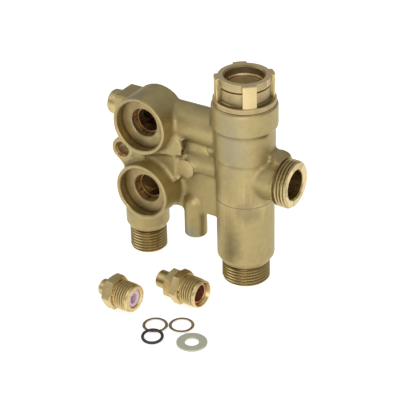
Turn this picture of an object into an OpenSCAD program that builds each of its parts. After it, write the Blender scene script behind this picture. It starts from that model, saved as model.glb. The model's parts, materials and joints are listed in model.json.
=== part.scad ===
// Brass diverter valve of a heating boiler, with its return manifold, loose unions and seals.
// Origin: centre of the flow spigot's end face. +Z up the barrel, +X along the side port,
// -Y out of the two heat exchanger sockets. Millimetres.

/* [Barrel] */
// Outer diameter of the barrel below the upper seam
barrel_d = 31.6; // [31:0.1:32.5]
// Outer diameter of the barrel above the upper seam
barrel_top_d = 33.1; // [32.6:0.1:34]
// Height of the barrel's top face
barrel_h = 108; // [106:0.5:110]
// Outer diameter of the band around the barrel's mouth
band_d = 35.8; // [35:0.1:37]
// Height of the band
band_h = 14.5; // [12:0.5:16]
// Bore of the flow spigot
flow_bore_d = 20; // [18:0.1:20.5]
// Bore that holds the cartridge
cartridge_bore_d = 23.2; // [23:0.1:23.6]

/* [Pipe threads] */
// Thread diameter of the flow spigot and side port
thread_big_d = 26.44; // [26.2:0.01:26.5]
// Thread diameter of the return spigot
thread_mid_d = 20.96; // [20.8:0.01:21]
// Length of the flow spigot's thread
flow_thread_l = 12; // [11:0.5:14]
// Length of the return spigot's thread
return_thread_l = 14.4; // [13:0.1:15]

/* [Side port] */
// Height of the side port and bypass passage
port_z = 66; // [65:0.5:67]
// Distance from the barrel's axis to the port's face
port_x = 31.2; // [30:0.1:33]
// Bore of the side port
port_bore_d = 16.2; // [15:0.1:17]

/* [Return manifold] */
// Distance between the two spigots
pitch = 65; // [64:0.5:66]
// Distance of the sockets from the barrel's axis
socket_x = 55; // [54:0.5:56]
// Height of the lower socket
lower_socket_z = 46.6; // [46:0.1:47]
// Height of the upper socket and pipe
upper_socket_z = 87.1; // [86.5:0.1:87.6]
// Outer diameter of the sockets
socket_d = 33; // [32:0.1:34]
// Diameter of the gasket cup
cup_d = 28.6; // [28:0.1:29.4]
// Depth of the gasket cup
cup_depth = 5.7; // [5:0.1:6]
// Hole in the cup's floor
socket_hole_d = 16.2; // [15:0.1:17]
// Distance of the sockets' rims in front of the barrel's axis
socket_front = 20; // [19:0.5:21]

// Outer diameter of the side nipple
nipple_d = 14; // [13.5:0.1:14.5]

/* [Motion] */
// Travel of the spindle
spindle_travel = 5.5; // [4.5:0.1:5.5]
// Travel of the bypass poppet
bypass_travel = 3; // [2:0.1:3]

/* [Hidden] */

$fn = 64;
eps = 0.02;
run = 0.05;            // radial running clearance
cast_brass = [0.66, 0.57, 0.36];
cut_brass = [0.80, 0.66, 0.34];
steel = [0.72, 0.73, 0.74];
rubber = [0.08, 0.08, 0.09];
plastic = [0.86, 0.85, 0.80];
pink = [0.80, 0.62, 0.66];
lilac = [0.78, 0.72, 0.78];
copper = [0.70, 0.40, 0.28];
fibre = [0.66, 0.66, 0.55];

// barrel
band_z = barrel_h - band_h;
seam_low_z = 51.5;
seam_high_z = 76.1;
step_up = 3.8;         // height of the cast cone above the flow thread
shoulder_z = 49;       // ledge that carries the lower seat
mouth_z = 98;          // ledge that carries the gland bush
mouth_d = 27.2;        // threaded mouth of the barrel
web_t = 6.6;
web_z = 33.6;

// side port
port_neck_d = 23;
port_thread_l = 6.4;
port_chamfer = 1.2;
nut_room_d = 36;       // turning room of a union nut on the side port
boss_d = 13.2;
boss_h = 14;

// manifold
socket_back = 2.3;
return_collar_d = 24.6;
return_step = 2.8;     // height of the cast cone above the return thread
return_dome = 10;      // top of the return pipe above the lower socket's middle
return_bore_d = 15;
upper_pipe_d = 20.4;
upper_bore_d = 14;
mid_pipe_d = 16;
mid_pipe_x = 42;
bypass_bore_d = 11;
bypass_x = 37;         // end of the bypass bore
bypass_seat_x = 22;    // sealing face of the bypass seat
drilling_x = 38;       // start of the slanted drilling to the lower socket
drilling_d = 5;
post_x = 32.5;
post_d = 12.7;
post_hole_d = 4.2;
post_z = 17.5;
post_top = 44.5;
ear_x = 70.1;
ear_z = 67.3;
ear_d = 13.4;
ear_hole_d = 7.2;
plate_front = 15;
plate_t = 6;
block_x = 80;
block_w = 17.6;
block_bore_d = 9;
nipple_core_d = 11.7;  // screwed end of the nipple
nipple_depth = 8;
nipple_bore_d = 7;

// collar
collar_h = 15.5;
flange_h = 2.9;
flange_d = 33.8;
ring_d = 27.4;
lip_d = 28.3;
lip_h = 5;
lug_d = 32.2;
lug_w = 7.4;
lug_turn = 41;
collar_open_d = 21.2;
collar_bore_d = 18;
collar_open_h = 4.4;
gland_h = 2.5;
collar_screw_h = barrel_h - mouth_z - gland_h;

// cartridge
seal_groove_d = cartridge_bore_d - 3.2;
seal_cord = 1.6;

// cartridge heights at rest, spindle up
lower_lip_z = 55;
upper_lip_z = 75.2;
spindle_d = 5;
seat_d = 14.4;
seal_t = 2;
plug_t = 2.4;
plug_d = 15.4;
upper_seal_top = upper_lip_z - run;
lower_seal_low = lower_lip_z + spindle_travel + run;
washer_top = mouth_z + gland_h + 0.6;
cap_z = 111.5;
cap_hub_d = 7.2;
spindle_top = 114;

// bypass
stem_r = 1.2;
bypass_guide_t = 2.6;

// loose unions
union_af = 17;         // across the flats of both nuts
union_thread_d = 16;
small_spigot_d = 9.1;
tail_spigot_d = 9.9;
small_union_l = 22.6;
large_union_l = 29;
small_pos = [-43, -61.55];
large_pos = [-17.5, -39.2];
small_turn = -4;
large_turn = -5;
insert_depth = 8;
insert_d = 12.2;
core_d = 6.6;
tail_af = 15.6;
tail_turn = 21;        // of its hexagon against the nut
tail_l = 12.8;         // from the tail's end to the nut
tail_screw_d = 10;
tail_screw_l = 5;
nut_h = 5.2;
mouth_l = 10;
sleeve_d = 11.6;

// loose seals
washer_t = 1;
washer_left = [-15.5, -68];
washer_right = [-3.4, -60.9];
fibre_pos = [9.8, -71.4];
oring_pos = [-10.4, -78.2];
oring_cord = 1.6;
oring_inner = 8.9;
oring_z = 1.36;        // height of its middle where it leans on the left washer
oring_lean = 6;

// ---------------------------------------------------------------- helpers

// Solid turned about Z from an outline of [radius, height] points
module turned(outline) {
    rotate_extrude() polygon(outline);
}

// Cylinder along -Y, its near face at y = near, running back for length l
module along_y(d, near, l) {
    translate([0, near, 0]) rotate([-90, 0, 0]) cylinder(d = d, h = l);
}

// Cylinder along +X from x0
module along_x(d, x0, l) {
    translate([x0, 0, 0]) rotate([0, 90, 0]) cylinder(d = d, h = l);
}

// Spigot with a chamfered end at z = 0
module spigot(d, l, chamfer) {
    turned([[0, 0], [d / 2 - chamfer, 0], [d / 2, chamfer], [d / 2, l], [0, l]]);
}

// Ring between two diameters
module ring(d_out, d_in, h) {
    difference() {
        cylinder(d = d_out, h = h);
        translate([0, 0, -1]) cylinder(d = d_in, h = h + 2);
    }
}

// O-ring lying at z = 0 to cord
module oring(d_in, cord) {
    translate([0, 0, cord / 2])
        rotate_extrude() translate([(d_in + cord) / 2, 0]) circle(d = cord);
}

// Points around a spring's wire where its centre is at radius r, angle a and height z
function wire_ring(r, wire, a, z, n) = [for (i = [0 : n - 1])
    [(r + wire / 2 * cos(360 * i / n)) * cos(a),
     (r + wire / 2 * cos(360 * i / n)) * sin(a),
     z + wire / 2 * sin(360 * i / n)]];

// Compression spring of round wire standing on z = 0, from outer diameter d_low to d_high
module coil_spring(d_low, d_high, wire, h, turns) {
    n = 8;
    per_turn = 20;
    steps = per_turn * turns;
    rings = [for (s = [0 : steps])
        let (u = s / steps, d = d_low + (d_high - d_low) * u)
        for (p = wire_ring((d - wire) / 2, wire, 360 * s / per_turn,
                           wire / 2 + (h - wire) * u, n)) p];
    sides = [for (s = [0 : steps - 1], i = [0 : n - 1])
        let (j = (i + 1) % n)
        [s * n + i, s * n + j, (s + 1) * n + j, (s + 1) * n + i]];
    start_cap = [for (i = [n - 1 : -1 : 0]) i];
    end_cap = [for (i = [0 : n - 1]) steps * n + i];
    polyhedron(points = rings, faces = concat([start_cap], sides, [end_cap]));
}

// ---------------------------------------------------------------- casting

module barrel_outside() {
    r = barrel_d / 2;
    rt = barrel_top_d / 2;
    rb = band_d / 2;
    spigot(thread_big_d, flow_thread_l + 1, 1.3);
    turned([[0, flow_thread_l], [thread_big_d / 2, flow_thread_l],
        [r, flow_thread_l + step_up], [r, seam_high_z], [rt, seam_high_z + 0.5],
        [rt, band_z], [rb, band_z + 1.3], [rb, barrel_h - 1], [rb - 1, barrel_h],
        [0, barrel_h]]);
}

module side_port_outside() {
    translate([0, 0, port_z]) {
        along_x(port_neck_d, 0, port_x - port_thread_l);
        translate([port_x, 0, 0]) rotate([0, -90, 0])
            spigot(thread_big_d, port_thread_l + port_chamfer, port_chamfer);
    }
}

// Blank boss leaning out between the barrel and the side port's thread
module leaning_boss() {
    difference() {
        translate([22.8, 2, 79]) rotate([0, 30, 0]) translate([0, 0, -boss_h])
            cylinder(d = boss_d, h = boss_h);
        translate([0, 0, port_z])
            along_x(nut_room_d, port_x - port_thread_l - port_chamfer, 10);
    }
}

module socket_outside(z) {
    translate([-socket_x, 0, z])
        along_y(socket_d, -socket_front, socket_front + socket_back);
}

module return_spigot_outside() {
    r = return_collar_d / 2;
    translate([-pitch, 0, 0]) {
        spigot(thread_mid_d, return_thread_l + 1, 1.2);
        turned([[0, return_thread_l], [thread_mid_d / 2, return_thread_l],
            [r, return_thread_l + return_step], [r, lower_socket_z + 4],
            [r - 3, lower_socket_z + return_dome - 1.5], [0, lower_socket_z + return_dome]]);
    }
}

module mid_pipe_outside() {
    translate([0, 0, port_z]) {
        along_x(mid_pipe_d, -mid_pipe_x, mid_pipe_x);
        translate([-mid_pipe_x, 0, 0]) sphere(d = mid_pipe_d - eps);
    }
    // boss around the slanted drilling to the lower socket
    translate([2 - drilling_x, 0, port_z - 1]) rotate([0, -135, 0])
        cylinder(d = drilling_d + 4.4, h = 16);
}

module web() {
    translate([-socket_x, -web_t / 2, web_z])
        cube([socket_x, web_t, upper_socket_z - web_z]);
}

module post_outside() {
    translate([-post_x, 0, post_z]) {
        turned([[0, 0], [post_d / 2 - 0.6, 0], [post_d / 2, 0.6],
            [post_d / 2, post_top - post_z - post_d / 2], [0, post_top - post_z - post_d / 2]]);
        translate([0, 0, post_top - post_z - post_d / 2]) sphere(d = post_d);
    }
}

// Octagonal lug on the web's front, below the mid pipe
module web_lug() {
    translate([-32.9, 0, 62.4]) rotate([90, 22.5, 0]) cylinder(d = 11.6, h = 9, $fn = 8);
}

// Small raised pad on the lower socket's flank
module flank_pad() {
    translate([-socket_x, -10, lower_socket_z]) rotate([0, -37, 0])
        translate([14, 0, -4.2]) cube([5.9, 9, 8.4]);
}

// Fixing ear and the plate that ties it to both sockets
module ear_plate_outside() {
    translate([-ear_x, 0, ear_z]) along_y(ear_d, -plate_front, plate_t);
    translate([0, plate_t - plate_front, 0]) rotate([90, 0, 0]) linear_extrude(plate_t)
        polygon([[-76.5, 65.2], [-68, 56], [-62.5, 61.5], [-58.5, 64.8], [-53.5, 67.4],
            [-47.5, 68.9], [-41, 69.4], [-34.6, 70.2], [-34, 75], [-34.3, 78],
            [-37, 80.5], [-42, 83], [-66, 80], [-74.8, 72.2]]);
}

module left_block() {
    w = block_w;
    translate([-block_x, 0, upper_socket_z]) rotate([90, 0, 90])
        linear_extrude(block_x - socket_x)
            offset(r = 1.5) square(w - 3, center = true);
}

module body_outside() {
    barrel_outside();
    side_port_outside();
    leaning_boss();
    socket_outside(lower_socket_z);
    socket_outside(upper_socket_z);
    return_spigot_outside();
    mid_pipe_outside();
    translate([0, 0, upper_socket_z]) along_x(upper_pipe_d, -socket_x, socket_x);
    web();
    post_outside();
    web_lug();
    flank_pad();
    ear_plate_outside();
    left_block();
}

// Cup and the stepped hole, cut from the front
module socket_cut(z, depth) {
    step = 5;
    translate([-socket_x, 0, z]) {
        along_y(cup_d, -socket_front - 1, cup_depth + 1);
        along_y(socket_hole_d, -socket_front, cup_depth + step);
        along_y(socket_hole_d - 2.4, -socket_front, depth);
    }
}

module body_cuts() {
    translate([0, 0, -1]) cylinder(d = flow_bore_d, h = barrel_h);
    translate([0, 0, shoulder_z]) cylinder(d = cartridge_bore_d, h = barrel_h);
    translate([0, 0, mouth_z]) cylinder(d = mouth_d, h = barrel_h);
    translate([0, 0, port_z]) {
        along_x(port_bore_d, 0, port_x + 1);
        along_x(bypass_bore_d, -bypass_x, bypass_x);
        along_x(bypass_bore_d - 3, -bypass_x - 3, 10);
    }
    translate([-drilling_x, 0, port_z - 1]) rotate([0, -135, 0]) cylinder(d = drilling_d, h = 18);
    translate([-pitch, 0, -1]) cylinder(d = return_bore_d, h = lower_socket_z + 3);
    translate([0, 0, upper_socket_z]) {
        along_x(upper_bore_d, -socket_x - 5, socket_x + 5);
        along_x(block_bore_d, -block_x - 1, 20);
        along_x(nipple_core_d, -block_x - 1, nipple_depth + 1);
    }
    socket_cut(lower_socket_z, socket_front + 1);
    socket_cut(upper_socket_z, socket_front + 1);
    translate([-ear_x, 0, ear_z]) {
        along_y(ear_hole_d, -plate_front - 1, plate_t + 2);
        translate([0, -plate_front - eps, 0]) rotate([-90, 0, 0])
            cylinder(d1 = ear_hole_d + 2, d2 = ear_hole_d, h = 1);
    }
    translate([-post_x, 0, post_z - 1]) cylinder(d = post_hole_d, h = 15);
}

module valve_body() {
    color(cast_brass) difference() {
        body_outside();
        body_cuts();
    }
}

// ---------------------------------------------------------------- collar and gland

module actuator_collar() {
    z0 = barrel_h;
    color(cut_brass) difference() {
        union() {
            translate([0, 0, z0 - collar_screw_h])
                cylinder(d = mouth_d - 0.1, h = collar_screw_h + 1);
            translate([0, 0, z0 + eps]) cylinder(d = flange_d, h = flange_h - eps);
            translate([0, 0, z0]) cylinder(d = ring_d, h = collar_h - 1);
            translate([0, 0, z0 + collar_h - lip_h]) cylinder(d = lip_d, h = lip_h);
            intersection() {
                translate([0, 0, z0 + 1]) cylinder(d = lug_d, h = collar_h - 1);
                for (a = [0, 90]) rotate([0, 0, lug_turn + a])
                    translate([-lug_d, -lug_w / 2, z0])
                        cube([2 * lug_d, lug_w, collar_h]);
            }
        }
        turned([[0, 0], [collar_bore_d / 2, 0],
            [collar_bore_d / 2, z0 + collar_h - collar_open_h - 1.6],
            [collar_open_d / 2, z0 + collar_h - collar_open_h],
            [collar_open_d / 2, z0 + collar_h - 0.6],
            [collar_open_d / 2 + 0.7, z0 + collar_h + 0.1], [0, z0 + collar_h + 0.1]]);
        // recess for the seal under the flange
        translate([0, 0, z0 - 1.6]) ring(mouth_d + 1, mouth_d - 3.2, 1.6);
    }
}

module collar_seal() {
    color(rubber) translate([0, 0, barrel_h - 1.6]) oring(mouth_d - 3.2, 1.55);
}

module gland_bush() {
    body_h = 3.4;
    color(cut_brass) difference() {
        union() {
            translate([0, 0, mouth_z]) cylinder(d = mouth_d - 0.2, h = gland_h);
            translate([0, 0, mouth_z - body_h])
                cylinder(d = cartridge_bore_d - 0.1, h = body_h + 1);
        }
        translate([0, 0, mouth_z - body_h - 1]) cylinder(d = spindle_d + 2 * run, h = 10);
        translate([0, 0, mouth_z + gland_h - 2]) cylinder(d = 8.8, h = 3);
        translate([0, 0, mouth_z - 2.6])
            ring(cartridge_bore_d + 1, seal_groove_d, 1.8);
    }
}

module gland_oring() {
    color(rubber) translate([0, 0, mouth_z - 2.55]) oring(seal_groove_d, seal_cord);
}

module spindle_seal() {
    color(rubber) translate([0, 0, mouth_z + gland_h - 1.95])
        ring(8.7, spindle_d + 2 * run, 1.9);
}

module gland_washer() {
    color(steel) translate([0, 0, mouth_z + gland_h]) ring(17, spindle_d + 0.4, 0.6);
}

// ---------------------------------------------------------------- cage and seats

module guide_cage() {
    low = 80.2;
    high = 94.6;
    color(plastic) difference() {
        translate([0, 0, low]) ring(cartridge_bore_d - 0.2, 19.4, high - low);
        for (a = [0, 90]) rotate([0, 0, a])
            translate([0, 0, upper_socket_z]) along_x(12.4, -14, 28);
    }
}

module upper_seat() {
    low = upper_lip_z;
    color(cut_brass) difference() {
        union() {
            translate([0, 0, low]) cylinder(d = seat_d + 2.4, h = 2);
            translate([0, 0, low + 1]) cylinder(d = cartridge_bore_d - 0.1, h = 4);
        }
        translate([0, 0, low - 1]) cylinder(d = seat_d, h = 8);
        translate([0, 0, low + 2.1])
            ring(cartridge_bore_d + 1, seal_groove_d, 1.8);
    }
}

module seat_oring() {
    color(rubber) translate([0, 0, upper_lip_z + 2.15]) oring(seal_groove_d, seal_cord);
}

// Seat ring with a three-armed guide for the spindle's tail
module lower_seat() {
    h = lower_lip_z - shoulder_z;
    color(cut_brass) translate([0, 0, shoulder_z]) {
        ring(cartridge_bore_d - 0.1, seat_d, h - 1);
        ring(seat_d + 2.4, seat_d, h);
        difference() {
            union() {
                cylinder(d = 8.6, h = h - 2);
                for (a = [30, 150, 270]) rotate([0, 0, a])
                    translate([0, -0.9, 0]) cube([seat_d / 2 + 0.5, 1.8, h - 2.5]);
            }
            translate([0, 0, -1]) cylinder(d = spindle_d + 2 * run, h = h + 2);
        }
    }
}

// ---------------------------------------------------------------- moving plug

module spindle() {
    low = shoulder_z + 0.4;
    groove_z = lower_seal_low - 1.3;
    r = spindle_d / 2;
    color(steel) turned([[0, low], [r - 0.5, low], [r, low + 0.5], [r, groove_z],
        [r - 0.6, groove_z], [r - 0.6, groove_z + 0.9], [r, groove_z + 0.9],
        [r, upper_seal_top], [r + 1.1, upper_seal_top], [r + 1.1, upper_seal_top + 2.2],
        [r, upper_seal_top + 2.2], [r, cap_z + 1.1], [r - 0.9, cap_z + 1.1],
        [r - 0.9, spindle_top - 0.4], [r - 1.3, spindle_top], [0, spindle_top]]);
}

module spring_cap() {
    color(plastic) difference() {
        union() {
            translate([0, 0, cap_z]) cylinder(d = collar_bore_d - 0.8, h = 2);
            translate([0, 0, cap_z - 3]) cylinder(d = cap_hub_d, h = 4);
        }
        translate([0, 0, cap_z - 4]) cylinder(d = spindle_d, h = 5.1);
        translate([0, 0, cap_z - 4]) cylinder(d = spindle_d - 1.8, h = 8);
    }
}

module return_spring() {
    color(steel) translate([0, 0, washer_top])
        coil_spring(collar_bore_d - 1.6, cap_hub_d + 2.8, 0.95, cap_z - washer_top - eps, 3);
}

module plug_disc(z) {
    color(steel) translate([0, 0, z]) ring(plug_d, spindle_d, plug_t);
}

module plug_seal(z) {
    color(rubber) translate([0, 0, z]) ring(plug_d + 0.8, spindle_d, seal_t);
}

module upper_plug_seal() {
    plug_seal(upper_seal_top - seal_t);
}

module upper_plug() {
    plug_disc(upper_seal_top - seal_t - plug_t);
}

module lower_plug_seal() {
    plug_seal(lower_seal_low);
}

module lower_plug() {
    plug_disc(lower_seal_low + seal_t);
}

module plug_spacer() {
    low = lower_seal_low + seal_t + plug_t;
    high = upper_seal_top - seal_t - plug_t;
    color(cut_brass) translate([0, 0, low]) ring(8, spindle_d, high - low);
}

// Spring clip in the spindle's groove, under the lower seal
module plug_circlip() {
    color(steel) translate([0, 0, lower_seal_low - 1.25]) difference() {
        ring(9, spindle_d - 1.2, 0.8);
        translate([0, -1.2, -1]) cube([6, 2.4, 3]);
    }
}

// ---------------------------------------------------------------- bypass

module bypass_seat() {
    color(cut_brass) translate([-bypass_seat_x, 0, port_z]) rotate([0, 90, 0])
        ring(bypass_bore_d - 0.1, 6.4, 3);
}

module bypass_poppet() {
    color(plastic) translate([-bypass_seat_x - run, 0, port_z]) rotate([0, -90, 0])
        turned([[0, 0], [4.2, 0], [4.2, 1.8], [2.2, 2.4], [stem_r, 2.4], [stem_r, 13.8],
            [0, 13.8]]);
}

module bypass_guide() {
    color(plastic) translate([-bypass_x, 0, port_z]) rotate([0, 90, 0]) difference() {
        ring(bypass_bore_d - 0.1, 2 * stem_r + 2 * run, bypass_guide_t);
        for (a = [45, 135, 225, 315]) rotate([0, 0, a])
            translate([3.2, 0, -1]) cylinder(d = 2.2, h = 5);
    }
}

module bypass_spring() {
    low = bypass_guide_t + run;
    high = bypass_x - bypass_seat_x - 2.5;
    color(steel) translate([low - bypass_x, 0, port_z]) rotate([0, 90, 0])
        coil_spring(7.4, 7.4, 0.7, high - low, 5);
}

// ---------------------------------------------------------------- side nipple

module side_nipple() {
    out = 5.4;
    end_chamfer = 1.4;
    color(cut_brass) translate([-block_x, 0, upper_socket_z]) rotate([0, -90, 0])
        difference() {
            union() {
                translate([0, 0, 0.4 - nipple_depth])
                    cylinder(d = nipple_core_d - 0.1, h = nipple_depth);
                turned([[0, 0], [nipple_d / 2, 0], [nipple_d / 2, out - end_chamfer],
                    [nipple_d / 2 - end_chamfer, out], [0, out]]);
            }
            translate([0, 0, -nipple_depth - 1]) cylinder(d = nipple_bore_d, h = 20);
        }
}

module nipple_seal() {
    color(rubber) translate([nipple_depth - block_x, 0, upper_socket_z])
        rotate([0, -90, 0]) ring(nipple_core_d - 0.3, block_bore_d, 0.36);
}

// ---------------------------------------------------------------- loose unions

// Hexagon across flats af with chamfered corners, standing on one flat when laid down
module hex(af, h) {
    corner = af / 2 + 1.2;
    chamfer = 0.9;
    intersection() {
        rotate([0, 0, 30]) cylinder(d = af / cos(30), h = h, $fn = 6);
        turned([[0, 0], [af / 2, 0], [corner, chamfer], [corner, h - chamfer],
            [af / 2, h], [0, h]]);
    }
}

// Lays a union that is turned about Z on the ground along +X, its middle at pos
module laid(pos, turn, l) {
    translate([pos[0], pos[1], union_af / 2]) rotate([0, 0, turn])
        translate([-l / 2, 0, 0]) rotate([0, 90, 0]) children();
}

module small_union() {
    l = small_union_l;
    hex_z = 6.2;
    hex_h = 6;
    color(cut_brass) laid(small_pos, small_turn, l) difference() {
        union() {
            spigot(small_spigot_d, hex_z + 1, 0.8);
            translate([0, 0, hex_z]) hex(union_af, hex_h);
            translate([0, 0, l]) mirror([0, 0, 1])
                spigot(union_thread_d, l - hex_z - hex_h + 1, 0.9);
        }
        translate([0, 0, -1]) cylinder(d = 5, h = l);
        translate([0, 0, l - insert_depth]) cylinder(d = insert_d, h = insert_depth + 1);
    }
}

// Ring of the flow restrictor, pushed into the small union
module flow_restrictor() {
    l = small_union_l;
    color(pink) laid(small_pos, small_turn, l)
        translate([0, 0, l - insert_depth]) ring(insert_d, core_d, insert_depth - 0.7);
}

// Core of the restrictor, set back in its ring
module restrictor_core() {
    l = small_union_l;
    color(lilac) laid(small_pos, small_turn, l)
        translate([0, 0, l - insert_depth]) ring(core_d, 1.6, insert_depth - 2.1);
}

// Nut of the large union, with the thread and the open mouth
module large_union() {
    l = large_union_l;
    color(cut_brass) laid(large_pos, large_turn, l) difference() {
        union() {
            translate([0, 0, tail_l]) hex(union_af, nut_h);
            translate([0, 0, l]) mirror([0, 0, 1])
                spigot(union_thread_d, l - tail_l - nut_h + 1, 0.9);
        }
        translate([0, 0, tail_l - 1]) cylinder(d = tail_screw_d, h = tail_screw_l + 1);
        translate([0, 0, tail_l]) cylinder(d = 7, h = l);
        translate([0, 0, l - mouth_l]) cylinder(d = sleeve_d, h = mouth_l + 1);
        translate([0, 0, l - 3]) cylinder(d1 = sleeve_d, d2 = 13.8, h = 3.01);
    }
}

// Tail of the large union: spigot, smaller hexagon and the stub screwed into the nut
module union_tail() {
    hex_z = 8;
    color(cut_brass) laid(large_pos, large_turn, large_union_l) difference() {
        union() {
            spigot(tail_spigot_d, hex_z + 1, 0.8);
            translate([0, 0, hex_z]) rotate([0, 0, tail_turn]) hex(tail_af, tail_l - hex_z);
            translate([0, 0, tail_l - 1]) cylinder(d = tail_screw_d - 0.1, h = tail_screw_l + 0.8);
        }
        translate([0, 0, -1]) cylinder(d = 7, h = large_union_l);
    }
}

// Copper sleeve inside the large union's mouth
module union_olive() {
    l = large_union_l;
    color(copper) laid(large_pos, large_turn, l)
        translate([0, 0, l - mouth_l]) ring(sleeve_d, 9.4, 6.6);
}

// ---------------------------------------------------------------- loose seals

module bonded_washer(pos) {
    color(steel) translate([pos[0], pos[1], 0]) ring(13.8, 10.4, washer_t);
}

module bonded_washer_left() {
    bonded_washer(washer_left);
}

module bonded_washer_right() {
    bonded_washer(washer_right);
}

module loose_oring() {
    gap = washer_left - oring_pos;
    color(rubber) translate([oring_pos[0], oring_pos[1], oring_z])
        rotate([0, 0, atan2(gap[1], gap[0])]) rotate([0, -oring_lean, 0])
            translate([0, 0, -oring_cord / 2]) oring(oring_inner, oring_cord);
}

module fibre_washer() {
    color(fibre) translate([fibre_pos[0], fibre_pos[1], 0]) ring(16.4, 7.4, 1.2);
}

// ---------------------------------------------------------------- nodes

valve_body();
actuator_collar();
collar_seal();
gland_bush();
gland_oring();
spindle_seal();
gland_washer();
guide_cage();
upper_seat();
seat_oring();
lower_seat();
spindle();
spring_cap();
return_spring();
upper_plug();
upper_plug_seal();
plug_spacer();
lower_plug();
lower_plug_seal();
plug_circlip();
bypass_seat();
bypass_poppet();
bypass_spring();
bypass_guide();
side_nipple();
nipple_seal();
small_union();
flow_restrictor();
restrictor_core();
large_union();
union_tail();
union_olive();
bonded_washer_left();
bonded_washer_right();
loose_oring();
fibre_washer();
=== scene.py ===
"""Builds the looks of a boiler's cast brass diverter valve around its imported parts."""

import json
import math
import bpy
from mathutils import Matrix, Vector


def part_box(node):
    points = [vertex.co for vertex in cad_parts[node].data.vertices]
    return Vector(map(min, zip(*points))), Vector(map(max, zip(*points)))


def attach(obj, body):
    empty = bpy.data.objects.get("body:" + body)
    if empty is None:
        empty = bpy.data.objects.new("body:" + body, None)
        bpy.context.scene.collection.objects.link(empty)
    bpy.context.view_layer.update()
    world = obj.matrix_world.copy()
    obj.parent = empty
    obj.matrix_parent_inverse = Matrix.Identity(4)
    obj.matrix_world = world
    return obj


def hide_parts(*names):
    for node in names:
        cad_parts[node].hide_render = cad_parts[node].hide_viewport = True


bl_info = {
    "name": "Diverter Valve",
    "version": (1, 0, 0),
    "blender": (4, 5, 0),
    "location": "View3D > Sidebar > Valve",
    "description": "Models a cast brass diverter valve with its loose unions and seals",
    "category": "Add Mesh",
}

import bmesh
import bpy
from bpy.props import FloatProperty, FloatVectorProperty, IntProperty, PointerProperty
from mathutils import Matrix, Vector

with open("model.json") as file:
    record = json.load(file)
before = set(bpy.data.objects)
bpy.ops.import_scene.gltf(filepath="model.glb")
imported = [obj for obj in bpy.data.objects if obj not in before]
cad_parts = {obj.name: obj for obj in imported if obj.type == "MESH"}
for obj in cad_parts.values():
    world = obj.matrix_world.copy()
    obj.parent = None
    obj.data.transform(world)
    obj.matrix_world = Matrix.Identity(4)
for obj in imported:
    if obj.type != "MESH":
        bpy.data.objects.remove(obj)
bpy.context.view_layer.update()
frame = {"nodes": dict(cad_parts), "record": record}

MM = 0.001
CUT = 1                 # material slot of machined faces on the casting
BORE = 2                # material slot of its deep bores, painted dark reddish brown as shade
CASTING_FINISHES = ("cast_skin", "faced_brass", "dark_bore")    # in the order of those slots
X, Y, Z = Vector((1, 0, 0)), Vector((0, 1, 0)), Vector((0, 0, 1))


def corner(node, end):
    """Lowest (end 0) or highest (end 1) corner of a CAD node, in millimetres."""
    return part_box(node)[end] / MM


# ------------------------------------------------------------------ places, from the frame

BARREL_TOP = corner("actuator_collar", 0).z + 7.5
COLLAR_TOP = corner("actuator_collar", 1).z
PORT_Z = (corner("bypass_seat", 0).z + corner("bypass_seat", 1).z) / 2
PORT_X = corner("valve_body", 1).x
NIPPLE_X = corner("side_nipple", 0).x
NIPPLE_OUT = 7.2        # length of the nipple in front of the left block
BLOCK_X = NIPPLE_X + NIPPLE_OUT
UPPER_Z = (corner("side_nipple", 0).z + corner("side_nipple", 1).z) / 2
LOWER_Z = 46.6          # heights of the socket axes are LOWER_Z and UPPER_Z
SOCKET_X = -55
RETURN_X = -65
SOCKET_Y = corner("valve_body", 0).y
UNION_Z = corner("small_union", 1).z / 2
EAR = Vector((-70.1, -15, 67.3))
EAR_R = 6.7
SOCKET_R = 16.5
POST_X = -32.5
PLATE_LEAN = 7.8        # degrees that the ear plate leans back towards the pipes
FLAT_DOWN = 30          # degrees that turn a lying hexagon from its corner onto its flat
SMALL_UNION_AT, SMALL_UNION_TURN = (-43, -61.55), -4
LARGE_UNION_AT, LARGE_UNION_TURN = (-17.5, -39.2), -5


# ------------------------------------------------------------------ settings

class ValveSizes(bpy.types.PropertyGroup):
    """Sizes of the finished surfaces, in millimetres where no unit is given."""

    fillet: FloatProperty(
        name="Casting fillet", description="Radius that the sand mould leaves in inner corners",
        default=1.3, min=0.5, max=2.5)
    grain: FloatProperty(
        name="Casting mesh", description="Edge length of the casting's mesh before it is thinned",
        default=0.55, min=0.4, max=1.0)
    casting_triangles: IntProperty(
        name="Casting triangles", description="Triangles that the casting's skin is thinned to",
        default=150000, min=20000, max=180000)
    pipe_pitch: FloatProperty(
        name="Pipe thread pitch", description="Pitch of the 1/2 and 3/4 inch parallel pipe threads",
        default=1.814, min=1.0, max=2.5)
    union_pitch: FloatProperty(
        name="Union thread pitch", description="Pitch of the loose unions' fine thread",
        default=1.5, min=1.0, max=2.0)
    flow_diameter: FloatProperty(
        name="Flow thread",
        description="Outside diameter of the flow spigot's and side port's thread",
        default=26.44, min=26.0, max=27.0)
    return_diameter: FloatProperty(
        name="Return thread", description="Outside diameter of the return spigot's thread",
        default=20.96, min=20.5, max=21.5)
    nipple_diameter: FloatProperty(
        name="Nipple", description="Outside diameter of the smooth side nipple",
        default=14.0, min=13.5, max=14.5)
    union_diameter: FloatProperty(
        name="Union thread", description="Outside diameter of the loose unions' thread",
        default=16.0, min=15.5, max=16.5)
    union_flats: FloatProperty(
        name="Union hexagon", description="Width across the flats of both union nuts",
        default=17.0, min=16.0, max=18.0)


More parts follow.
